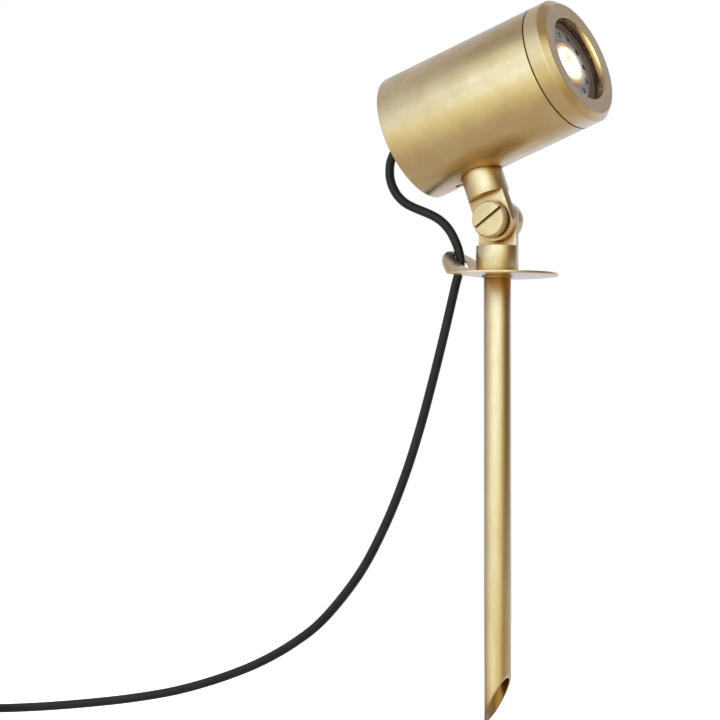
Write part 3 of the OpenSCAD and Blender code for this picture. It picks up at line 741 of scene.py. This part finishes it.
class SpotlightLead(bpy.types.PropertyGroup):
    diameter: bpy.props.FloatProperty(
        name="Diameter", description="Outer diameter of the lead", subtype="DISTANCE",
        unit="LENGTH", min=0.004, max=0.005, default=LEAD_D * MM,
    )
    jacket: bpy.props.FloatVectorProperty(
        name="Jacket", description="Black rubber", subtype="COLOR", size=3, min=0, max=1,
        default=linear("#171717"),
    )
    dusty: bpy.props.FloatVectorProperty(
        name="Dusty jacket", description="Rubber with a film of dust", subtype="COLOR", size=3,
        min=0, max=1, default=linear("#242425"),
    )


class SpotlightLamp(bpy.types.PropertyGroup):
    glow: bpy.props.FloatProperty(
        name="Glow", description="How brightly the lamp is lit", min=0, max=20, default=7.5,
    )


class SpotlightStudio(bpy.types.PropertyGroup):
    lens: bpy.props.FloatProperty(
        name="Focal length", description="Focal length of the camera in mm", unit="CAMERA",
        min=50, max=400, default=251.0,
    )
    fill: bpy.props.FloatProperty(
        name="Sky light", description="Soft light from all round", min=0, max=2, default=0.35,
    )
    lift: bpy.props.FloatProperty(
        name="Floor lift", description="How far the floor is lifted to white in the picture",
        min=0, max=1, default=0.8,
    )


# Operators


def fade(x, low, high, low_edge, high_edge):
    """1 between low and high and 0 outside, with each limit in the middle of its own soft edge."""
    rise = np.clip((x - low) / low_edge + 0.5, 0, 1)
    fall = np.clip((high - x) / high_edge + 0.5, 0, 1)
    return (rise * rise * (3 - 2 * rise)) * (fall * fall * (3 - 2 * fall))


def tent_colour(direction):
    """What the studio's walls show towards each direction. Every patch is laid over those before
    it, and its share is a product of soft steps in bearing and in height, in degrees. The edges,
    levels and tints were fitted to how the brass is shaded in the photo and then rounded, and the
    dark card's own level was set afterwards."""
    azimuth = np.degrees(np.arctan2(direction[..., 0], -direction[..., 1]))
    # From the bearing of the wall behind the camera, positive to the picture's right
    side = (azimuth - CAMERA_BEARING + 180) % 360 - 180
    height = np.degrees(np.arcsin(np.clip(direction[..., 2], -1, 1)))
    behind = side % 360

    # A level is how bright a patch is, where 1 is white. The plain wall comes first
    walls = 0.675 * np.array(linear("#EDEFFF"))
    for colour, level, share in (
        # dim ceiling
        ("#FFF3EC", 0.38, fade(height, 49, 200, 11, 10)),
        # tan card under the light
        ("#FFF2E1", 0.52, fade(height, -200, -8, 10, 7)),
        # dark card on the right, and the warm card at its edge
        ("#FFDBB9", 0.155, fade(side, 38, 133, 16, 15) * fade(height, 1, 39, 6, 30)),
        ("#FFD272", 0.295, fade(side, -4, 63, 23, 37) * fade(height, -40, 70, 24, 24)),
        # pale cloth behind the light
        ("#D4DEFF", 1.16, fade(behind, 126, 202, 63, 7) * fade(height, -47, 20, 68, 50)),
        # the softbox
        ("#FCFFD3", 1.405, fade(side, -70, 36.5, 71, 65) * fade(height, -15, 53, 87, 19)),
    ):
        share = share[..., None]
        walls = walls * (1 - share) + level * np.array(linear(colour)) * share
    # The hot middle of the softbox's cloth is bluer than its edge
    hot = np.exp(-(((side + 23) / 44.5) ** 2) - ((height - 24) / 22.4) ** 2)
    return walls + hot[..., None] * 1.5 * np.array(linear("#0083FF"))


class SPOTLIGHT_OT_stage(bpy.types.Operator):
    """Sets the camera, the lamps, the white floor and the walls that the metal reflects"""

    bl_idname = "spotlight.stage"
    bl_label = "Studio"

    def execute(self, context):
        studio = context.scene.spotlight_studio
        context.scene.view_settings.view_transform = "Standard"

        camera = bpy.data.objects.new("camera", bpy.data.cameras.new("camera"))
        context.scene.collection.objects.link(camera)
        camera.location = CAMERA_AT
        level = math.cos(CAMERA_PITCH)
        look = Vector((CAMERA_WAY[0] * level, CAMERA_WAY[1] * level, math.sin(CAMERA_PITCH)))
        camera.rotation_euler = look.to_track_quat("-Z", "Y").to_euler()
        camera.data.sensor_width = 36
        camera.data.lens = studio.lens
        camera.data.clip_end = 50
        context.scene.camera = camera

        world = bpy.data.worlds.new("white_room")
        context.scene.world = world
        world.use_nodes = True
        tree = world.node_tree
        tree.nodes.clear()
        level = add(
            tree, "ShaderNodeMapRange", {"Value": seen_directly(tree), "To Min": studio.fill}
        ).outputs["Result"]
        white = linear("#FFFFFF")
        room = add(tree, "ShaderNodeBackground", {"Color": white, "Strength": level})
        add(tree, "ShaderNodeOutputWorld", {"Surface": room.outputs[0]})

        for name, place, size, power, colour in (
            ("softbox_left", (-1.3, -1.9, 0.75), 1.3, 34, "#FFFDFA"),
            ("softbox_right", (1.9, -0.9, 0.9), 1.0, 12, "#FFFAF2"),
            ("overhead", (0.1, 0.2, 2.2), 1.6, 26, "#FFFFFF"),
            ("behind", (0.2, 2.0, 0.9), 1.2, 12, "#FFFFFF"),
        ):
            light = bpy.data.lights.new(name, "AREA")
            light.energy, light.size, light.color = power, size, linear(colour)
            lamp = bpy.data.objects.new(name, light)
            context.scene.collection.objects.link(lamp)
            lamp.location = place
            lamp.rotation_euler = (-Vector(place)).to_track_quat("-Z", "Y").to_euler()
            lamp.visible_camera = False
            lamp.visible_glossy = False

        self.floor(studio)
        self.tent()
        return {"FINISHED"}

    def floor(self, studio):
        """A flat grid of points, 14 m square, level with the tip of the spike."""
        x, y = np.meshgrid(np.linspace(-7, 7, 9), np.linspace(-7, 7, 9), indexing="ij")
        ground = grid_object("floor", np.stack([x, y, np.full_like(x, FLOOR_Z)], -1))
        # Matt white paper with a slight tooth: it shows as clean white, and keeps the soft shadow
        made, tree = new_material("white_paper_floor")
        place = add(tree, "ShaderNodeTexCoord").outputs["Object"]
        tooth = add(
            tree, "ShaderNodeTexNoise", {"Vector": place, "Scale": 1 / (3 * MM)}
        ).outputs["Fac"]
        tone = add(
            tree, "ShaderNodeMix",
            {"Factor": tooth, "A": linear("#F0F0F0"), "B": linear("#ECECEC")},
            data_type="RGBA",
        ).outputs["Result"]
        paper = add(tree, "ShaderNodeBsdfPrincipled", {"Base Color": tone, "Roughness": 0.9})
        lift = add(
            tree, "ShaderNodeMath", {0: seen_directly(tree), 1: studio.lift}, operation="MULTIPLY"
        ).outputs[0]
        glow = add(tree, "ShaderNodeEmission", {"Color": linear("#FFFFFF"), "Strength": lift})
        both = add(tree, "ShaderNodeAddShader", {0: paper.outputs[0], 1: glow.outputs[0]})
        add(tree, "ShaderNodeOutputMaterial", {"Surface": both.outputs[0]})
        made.cycles.emission_sampling = "NONE"
        ground.data.materials.append(made)
        ground.visible_glossy = False

    def tent(self):
        """The studio as reflections see it: a ball of 12 m radius round the object, from its height
        and its bearing. Each point's colour comes from its direction alone, so the metal reflects
        the same room at every height."""
        height = np.radians(np.linspace(89.9, -89.9, 121))[:, None]
        turn = 2 * np.pi * np.arange(180)[None, :] / 180
        level = np.cos(height)
        way = np.stack(
            np.broadcast_arrays(level * np.cos(turn), level * np.sin(turn), np.sin(height)), -1
        )
        walls = grid_object("reflected_walls", 12 * way, wrap_v=True)
        shade = np.concatenate([tent_colour(way), np.ones((*way.shape[:2], 1))], -1)
        layer = walls.data.color_attributes.new("walls", "FLOAT_COLOR", "POINT")
        layer.data.foreach_set("color", shade.astype(np.float32).ravel())
        # Lit cloth and card: only metal, glass and rubber see them, as broad soft bands
        made, tree = new_material("studio_walls")
        cloth = add(tree, "ShaderNodeVertexColor", layer_name="walls").outputs["Color"]
        lit = add(tree, "ShaderNodeEmission", {"Color": cloth, "Strength": 1.0})
        add(tree, "ShaderNodeOutputMaterial", {"Surface": lit.outputs[0]})
        made.cycles.emission_sampling = "NONE"
        walls.data.materials.append(made)
        walls.visible_camera = False
        walls.visible_diffuse = False
        walls.visible_volume_scatter = False
        walls.visible_shadow = False


class SPOTLIGHT_OT_lead(bpy.types.Operator):
    """Makes the rubber lead: the stretch from the head down to the tab, and the run with its coil
    """

    bl_idname = "spotlight.lead"
    bl_label = "Lead"

    def execute(self, context):
        look = context.scene.spotlight_lead
        rubber = rubber_jacket("epdm_rubber_jacket", look)
        radius = look.diameter / 2

        upper = even_points(route_curve(np.linspace(0, TAB_POINT, 600)), 1.5) * MM
        stretch = tube("lead_stretch", [upper], radius, 20, (0.0, 1.0, 0.0))
        stretch.data.materials.append(rubber)
        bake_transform(stretch)
        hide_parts("lead_upper")

        down = route_curve(np.linspace(TAB_POINT, len(ROUTE) + 1, 900))
        turns = coil_curve(np.linspace(0, TURNS_ALL, 2400))
        out = turns[-1] - turns[-2]
        out /= np.linalg.norm(out)
        tail = turns[-1] + LEAD_D * out
        run = even_points(np.vstack([down, turns, tail]), 2.0) * MM
        # Straight up is never along this run, so it turns the rings the same way all along
        piece = tube("lead_run", [run], radius, 20, (0.001, 0.002, 1.0))
        finish_piece(piece, rubber, "spike", ["lead_lower", "lead_coil"])
        far_cores = self.cores(rubber, radius, tail, out)

        # Hot tinned copper: soft bright silver
        tin = speckled("tinned_copper", "#C9CACC", "#B8B9BC", 0.8, 0.35, metallic=1.0)
        # Moulded nylon: black, a little shinier than the lead that it ties
        strap = speckled("nylon_strap_black", "#232326", "#1B1B1E", 1.2, 0.5)
        dress("coil_tie", strap, 0.2)
        dress("core_ferrules", tin, 0.1)
        return {"FINISHED"}

    def cores(self, rubber, radius, tail, out):
        """The two cores bared at the lead's far end, which it returns, the jacketed end inside the
        head, and its two cores. Inside, each core swings out to its pin by half of one minus a
        cosine, and bows to one side by a full cosine wave."""
        # Extruded PVC: plain brown, with a slight shine
        brown = speckled("pvc_core_brown", "#7A4A32", "#6A3C28", 1.5, 0.45)
        apart = (CORE_D + CORE_GAP) / 2
        across = np.array([-out[1], out[0], 0.0])
        along = np.linspace(0, CORES_BARE, 9)[:, None]
        bared = [MM * (tail + side * apart * across + along * out) for side in (-1, 1)]
        far = tube("lead_core_ends", bared, MM * CORE_D / 2, 16, (0.0, 0.0, 1.0))
        finish_piece(far, brown, "spike", ["lead_cores"])

        z = np.linspace(JACKET_START, JACKET_END, 13)
        inside = head_place(np.stack([0 * z, 0 * z, z], -1))
        inner = tube("lead_end_in_head", [inside], radius, 20, (0.0, 1.0, 0.0))
        finish_piece(inner, rubber, "head", ["lead_tail"])

        u = np.linspace(0, 1, 31)
        bow = CORE_BOW / 2 * (1 - np.cos(2 * np.pi * u))
        swing = apart + (PIN_GAP - CORE_D) / 2 * (1 - np.cos(np.pi * u)) / 2
        z = JACKET_END + (HOLDER_Z - JACKET_END) * u
        pair = [head_place(np.stack([bow, side * swing, z], -1)) for side in (-1, 1)]
        leads = tube("lamp_core_pair", pair, MM * CORE_D / 2, 16, (0.0, 1.0, 0.0))
        finish_piece(leads, brown, "head", ["lamp_leads"])
        return far


class SPOTLIGHT_OT_head(bpy.types.Operator):
    """Finishes the head's body, its cable gland and the set screw under it"""

    bl_idname = "spotlight.head"
    bl_label = "Head"

    def execute(self, context):
        look = context.scene.spotlight_brass
        # Blasted and lacquered brass: a broad soft sheen, with smaller clouds on small pieces
        brass = satin_brass("satin_brass_body", look)
        small = satin_brass("satin_brass_gland", look, cloud_mm=7.0)
        # Moulded nitrile rubber: matt, near black
        rubber = speckled("nitrile_rubber_seal", "#202022", "#2A2A2D", 1.5, 0.55)
        # Blackened steel, plain here: a dark spot in the brass
        blackened = speckled("black_oxide_steel", "#161514", "#0E0D0D", 0.8, 0.5)
        dress("body_tube", brass, 0.3)
        dress("gland_body", small, 0.1)
        dress("gland_nut", small, 0.2)
        dress("gland_seal", rubber)
        dress("grub_screw", blackened, 0.1)
        return {"FINISHED"}


class SPOTLIGHT_OT_bezel(bpy.types.Operator):
    """Finishes the screwed front ring with its glass, gasket and seal ring"""

    bl_idname = "spotlight.bezel"
    bl_label = "Front ring and glass"

    def execute(self, context):
        look = context.scene.spotlight_brass
        # Blasted outside and turned bright in its opening, which shows the lamp as a warm streak
        self.front_ring(satin_brass("satin_brass_bezel", look, bore_mm=22.4))
        pane = dress("lens_glass", clear_window("toughened_float_glass"))
        # Flat shading keeps both faces true, so what is seen through them isn't bent unevenly
        pane.data.polygons.foreach_set("use_smooth", np.zeros(len(pane.data.polygons), bool))
        # Moulded silicone: a dull, warm grey line round the glass
        dress("lens_gasket", speckled("silicone_gasket", "#7A6C66", "#685C57", 1.0, 0.5))
        # Rubber seal ring: its orange brown is a painted glow for the warm light that the brass
        # throws into the dark groove behind the ring
        dress("bezel_seal", speckled("rubber_seal_ring_painted_groove_light", "#B5692A", "#8A4A1C", 1.0, 0.4))
        return {"FINISHED"}

    def front_ring(self, brass):
        """The front ring as it is turned: cavity, spigot with its thread, shoulder, outside,
        chamfer, face and opening, with each edge just broken."""
        corners = [
            (26.5, 82.7), (28.7, 82.7), (SPIGOT_R, 83.2), (SPIGOT_R, 88.7), (32.75, 88.7),
            (32.75, 96.8), (29.65, 100.2), (22.25, 100.2), (22.05, 100.0), (22.05, 96.8),
            (26.5, 96.8),
        ]
        fillets = [0.1, 0.15, 0.15, 0.08, 0.2, 0.34, 0.3, 0.08, 0.08, 0.1, 0.1]
        profile = rounded_profile(corners, fillets)
        # Above the spigot's low corner go rows for its thread, eight or more to each turn
        above = int(np.argmax((profile[:, 1] > 84) & (profile[:, 0] > 29)))
        z = np.linspace(83.5, 88.5, 30)
        profile = np.insert(profile, above, np.stack([np.full_like(z, SPIGOT_R), z], -1), 0)
        thread = (83.3, 88.6, SPIGOT_R, THREAD_PITCH, THREAD_DEPTH)
        ring = turned_ring("turned_front_ring", profile, 240, thread)
        finish_piece(ring, brass, "front_ring", ["bezel"])


class SPOTLIGHT_OT_lamp(bpy.types.Operator):
    """Finishes the reflector lamp: shell, vented face, lit lens, board, chip and pins"""

    bl_idname = "spotlight.lamp"
    bl_label = "Lamp"

    def execute(self, context):
        look = context.scene.spotlight_lamp
        # Die-cast aluminium with a grey coat: even and half matt
        coat = speckled("coated_die_cast_grey", "#7C706A", "#6A5F5A", 0.9, 0.5)
        # A board under solder mask: near black, and glossier than the face round it
        mask = speckled("dark_solder_mask", "#2A2827", "#211F1F", 1.2, 0.35)
        # Tinned brass: small soft silver highlights
        tin = speckled("tinned_pins", "#C9CACC", "#B8B9BC", 0.8, 0.3, metallic=1.0)
        dress("lamp_shell", coat, 0.15)
        dress("lamp_face", vented_face("moulded_polycarbonate_grey"), 0.1)
        dress("lamp_lens", lit_lens("acrylic_optic_lit", look), 0.1)
        dress("led_board", mask, 0.1)
        dress("led_chip", lit_chip("yellow_phosphor_lit", look))
        dress("lamp_pins", tin)
        return {"FINISHED"}


class SPOTLIGHT_OT_holder(bpy.types.Operator):
    """Finishes the lampholder, its bracket and their screws"""

    bl_idname = "spotlight.holder"
    bl_label = "Lampholder"

    def execute(self, context):
        # Zinc plated steel: pale, cool and satin
        steel = speckled("zinc_plated_steel", "#B9BCC0", "#A6A9AE", 1.2, 0.36, metallic=1.0)
        # Fired, unglazed steatite: cream and chalky
        ceramic = speckled("unglazed_steatite", "#DED8C8", "#D0C9B6", 1.0, 0.7, bump_mm=0.03)
        dress("holder_bracket", steel, 0.15)
        dress("lampholder", ceramic, 0.3)
        for node in ("bracket_screws", "holder_screws", "stem_screw", "knuckle_stud"):
            dress(node, steel, 0.1)
        return {"FINISHED"}


class SPOTLIGHT_OT_knuckle(bpy.types.Operator):
    """Finishes the tilting knuckle: both blades, the clamp screw, its washer and nut"""

    bl_idname = "spotlight.knuckle"
    bl_label = "Knuckle"

    def execute(self, context):
        look = context.scene.spotlight_brass
        # The body's blasted brass, with painted shade darker and browner in the laps between the
        # blades
        brass = satin_brass("satin_brass_knuckle", look, cloud_mm=9.0)
        dress("upper_knuckle", brass, 0.3)
        dress("lower_knuckle", brass, 0.3)
        dress("clamp_screw", satin_brass("satin_brass_screw", look, cloud_mm=9.0), 0.12)
        dress("clamp_washer", brass, 0.15)
        dress("clamp_nut", brass, 0.2)
        return {"FINISHED"}


class SPOTLIGHT_OT_ground(bpy.types.Operator):
    """Finishes the flange with its cable tab, and the ground spike"""

    bl_idname = "spotlight.ground"
    bl_label = "Flange and spike"

    def execute(self, context):
        look = context.scene.spotlight_brass
        # Rolled sheet, blasted as the rest: thin bright edges, and flats that mirror no detail
        dress("flange", satin_brass("rolled_brass_sheet", look, cloud_mm=12.0), 0.2)
        dress("spike_washer", satin_brass("satin_brass_washer", look, cloud_mm=9.0), 0.1)
        # Drawn tube: its clouds run along it, and painted shade makes it browner far up towards the
        # flange
        tube_brass = satin_brass(
            "drawn_brass_tube", look, streak=5.0, cloud_mm=6.0, corner_mm=20.0, gap_glow=0.0
        )
        dress("spike_tube", tube_brass, 0.12)
        dress("spike_plug", tube_brass)
        return {"FINISHED"}


class SPOTLIGHT_PT_panel(bpy.types.Panel):
    """Lists the sizes and colours, and a button for each group of pieces"""

    bl_idname = "SPOTLIGHT_PT_panel"
    bl_label = "Landscape spotlight"
    bl_space_type = "VIEW_3D"
    bl_region_type = "UI"
    bl_category = "Spotlight"

    def draw(self, context):
        for name in PROPERTIES:
            group = getattr(context.scene, name)
            box = self.layout.box()
            for key in group.__annotations__:
                box.prop(group, key)
        for operator in OPERATORS:
            self.layout.operator(operator.bl_idname)


PROPERTIES = {
    "spotlight_brass": SpotlightBrass,
    "spotlight_lead": SpotlightLead,
    "spotlight_lamp": SpotlightLamp,
    "spotlight_studio": SpotlightStudio,
}
OPERATORS = [
    SPOTLIGHT_OT_stage,
    SPOTLIGHT_OT_lead,
    SPOTLIGHT_OT_head,
    SPOTLIGHT_OT_bezel,
    SPOTLIGHT_OT_lamp,
    SPOTLIGHT_OT_holder,
    SPOTLIGHT_OT_knuckle,
    SPOTLIGHT_OT_ground,
]


def register():
    for cls in (*PROPERTIES.values(), *OPERATORS, SPOTLIGHT_PT_panel):
        bpy.utils.register_class(cls)
    for name, cls in PROPERTIES.items():
        setattr(bpy.types.Scene, name, bpy.props.PointerProperty(type=cls))


def unregister():
    for name in PROPERTIES:
        delattr(bpy.types.Scene, name)
    for cls in reversed((*PROPERTIES.values(), *OPERATORS, SPOTLIGHT_PT_panel)):
        bpy.utils.unregister_class(cls)


def main():
    register()
    for operator in OPERATORS:
        group, name = operator.bl_idname.split(".")
        getattr(getattr(bpy.ops, group), name)()


if __name__ == "__main__":
    main()
